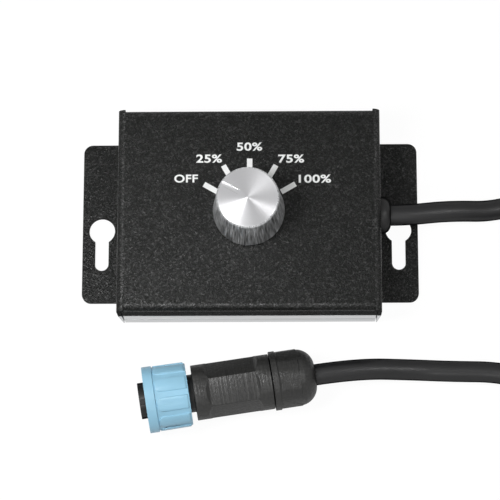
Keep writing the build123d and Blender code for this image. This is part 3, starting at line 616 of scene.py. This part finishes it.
# Circuit board and what it carries. Glass-epoxy board under green resist,
# chip resistors, a green terminal block and three conductors.
finish_nodes(plastic("green_solder_resist", "#1F5A3A", 0.32, 1.2, 0.006, mottle=0.2), "circuit_board")
finish_nodes(plastic("resistor_ceramic", "#1A1A1C", 0.3, 0.3, 0.003), "resistors")
finish_nodes(plastic("green_polyamide_block", "#2E8B57", 0.42, 0.4, 0.01), "terminal_block")


def striped(name, colours, low, step, roughness):
    """PVC insulation whose colour changes from one conductor to the next."""
    material, tree, output = new_material(name)
    place = add(tree, "TexCoord").outputs["Object"]
    row = add(tree, "SeparateXYZ", {0: place}).outputs["Y"]
    high = low + len(colours) * step
    share = add(tree, "MapRange", {"Value": row, "From Min": low * MM, "From Max": high * MM})
    ramp = add(tree, "ValToRGB", {0: share.outputs[0]})
    ramp.color_ramp.interpolation = "CONSTANT"
    stops = ramp.color_ramp.elements
    for number, colour in enumerate(colours):
        stop = stops[0] if number == 0 else stops.new(number / len(colours))
        stop.color = linear(colour)
    stops.remove(stops[-1])
    grain = add(tree, "TexNoise", {"Vector": place, "Scale": 1 / (0.5 * MM)})
    put_surface(tree, output, {
        "Base Color": ramp.outputs[0],
        "Roughness": roughness,
        "Normal": bumped(tree, grain.outputs["Fac"], 0.01)})
    return material


wire_pitch = 3.4
wires_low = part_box("inner_wires")[0].y / MM
wire_colours = ("#8E2A22", "#1F1F21", "#D8D4C6")
finish_nodes(striped("pvc_wire_insulation", wire_colours, wires_low - 0.6, wire_pitch, 0.4), "inner_wires")
finish_nodes(cord_jacket, "inner_cord", "connector_cord_end")
finish_nodes(plastic("grey_wire_insulation", "#8B8C8E", 0.42, 0.5, 0.01), "connector_wires")


# Strain relief. Black polyamide bushing, put through the side wall from
# outside and held by its lock nut inside.
relief_nylon = plastic("black_polyamide_relief", "#1A1A1A", 0.42, 0.5, 0.012)
rounded_copy("strain_relief", "strain_relief_bushing", 0.12, [relief_nylon])
finish_nodes(relief_nylon, "strain_relief_nut")


# Coupling nut. Moulded in blue polyamide, with a plain front band and ten grip
# ribs behind it. The real one has a thread inside, where this one's bore is plain.
# Blue polyamide, dyed through, satin from the mould.
blue_polyamide = plastic("blue_polyamide", "#89B7CE", 0.42, 0.5, 0.012, mottle=0.04, rim=0.4)
rounded_copy("coupling_nut", "coupling_nut_grip", 0.1, [blue_polyamide])


# Connector body, insert and gland nut. Black glass-filled polyamide, moulded,
# with fine rings left by the tool on its round bands.
connector_origin = Vector((-31.22, -56.84, 10.076)) * MM
connector_heading = radians(8.74)
connector_slope = radians(1.608)
connector_axis = Vector((
    cos(connector_heading) * cos(connector_slope),
    sin(connector_heading) * cos(connector_slope),
    -sin(connector_slope)))
body_grain_mm = 0.7


def ringed_plastic(name, colour, roughness, ring_mm, depth_mm):
    """Moulded plastic with fine rings round the connector's axis."""
    material, tree, output = new_material(name)
    place = add(tree, "TexCoord").outputs["Object"]
    moved = add(tree, "VectorMath", {0: place, 1: -connector_origin}, operation="ADD")
    station = add(tree, "VectorMath", {0: moved.outputs[0], 1: connector_axis}, operation="DOT_PRODUCT")
    rings = add(tree, "TexNoise",
                {"W": station.outputs["Value"], "Scale": 1 / (ring_mm * MM), "Detail": 1.0},
                noise_dimensions="1D")
    grain = add(tree, "TexNoise", {"Vector": place, "Scale": 1 / (body_grain_mm * MM), "Detail": 2.0})
    relief = add(tree, "Math", {0: rings.outputs["Fac"], 1: grain.outputs["Fac"]}, operation="ADD")
    slant = add(tree, "LayerWeight", {"Blend": 0.5}).outputs["Facing"]
    gloss = add(tree, "MapRange", {"Value": slant, "From Min": 0.1, "From Max": 0.85,
                                   "To Min": 0.5, "To Max": 0.04})
    put_surface(tree, output, {
        "Base Color": tinted(tree, colour, between(tree, grain, 0.8, 1.25)),
        "Roughness": between(tree, grain, roughness - 0.06, roughness + 0.06),
        "Normal": bumped(tree, relief.outputs[0], depth_mm),
        "Specular IOR Level": gloss.outputs[0]})
    return material


# Black glass-filled polyamide: the body and the gland nut come from two moulds.
body_nylon = ringed_plastic("black_polyamide_body", "#252524", 0.42, 0.9, 0.12)
rounded_copy("connector_body", "connector_body_grip", 0.22, [body_nylon])
gland_nylon = ringed_plastic("black_polyamide_gland", "#252524", 0.4, 0.9, 0.12)
rounded_copy("gland_nut", "gland_nut_cap", 0.12, [gland_nylon])
finish_nodes(plastic("black_pbt_insert", "#161616", 0.36, 0.4, 0.006), "contact_insert")
finish_nodes(plastic("black_polyamide_cage", "#1D1D1D", 0.5, 0.5, 0.01), "clamping_cage")
finish_nodes(metal("gold_plated_brass", "#D6B25E", 0.22, 0.1, 1.5, 0.002), "contact_sockets")
finish_nodes(plastic("red_silicone_seal", "#9C3A2C", 0.6, 0.4, 0.01), "seal_ring")
finish_nodes(plastic("black_nitrile_rubber", "#151515", 0.75, 0.4, 0.02), "gland_seal")
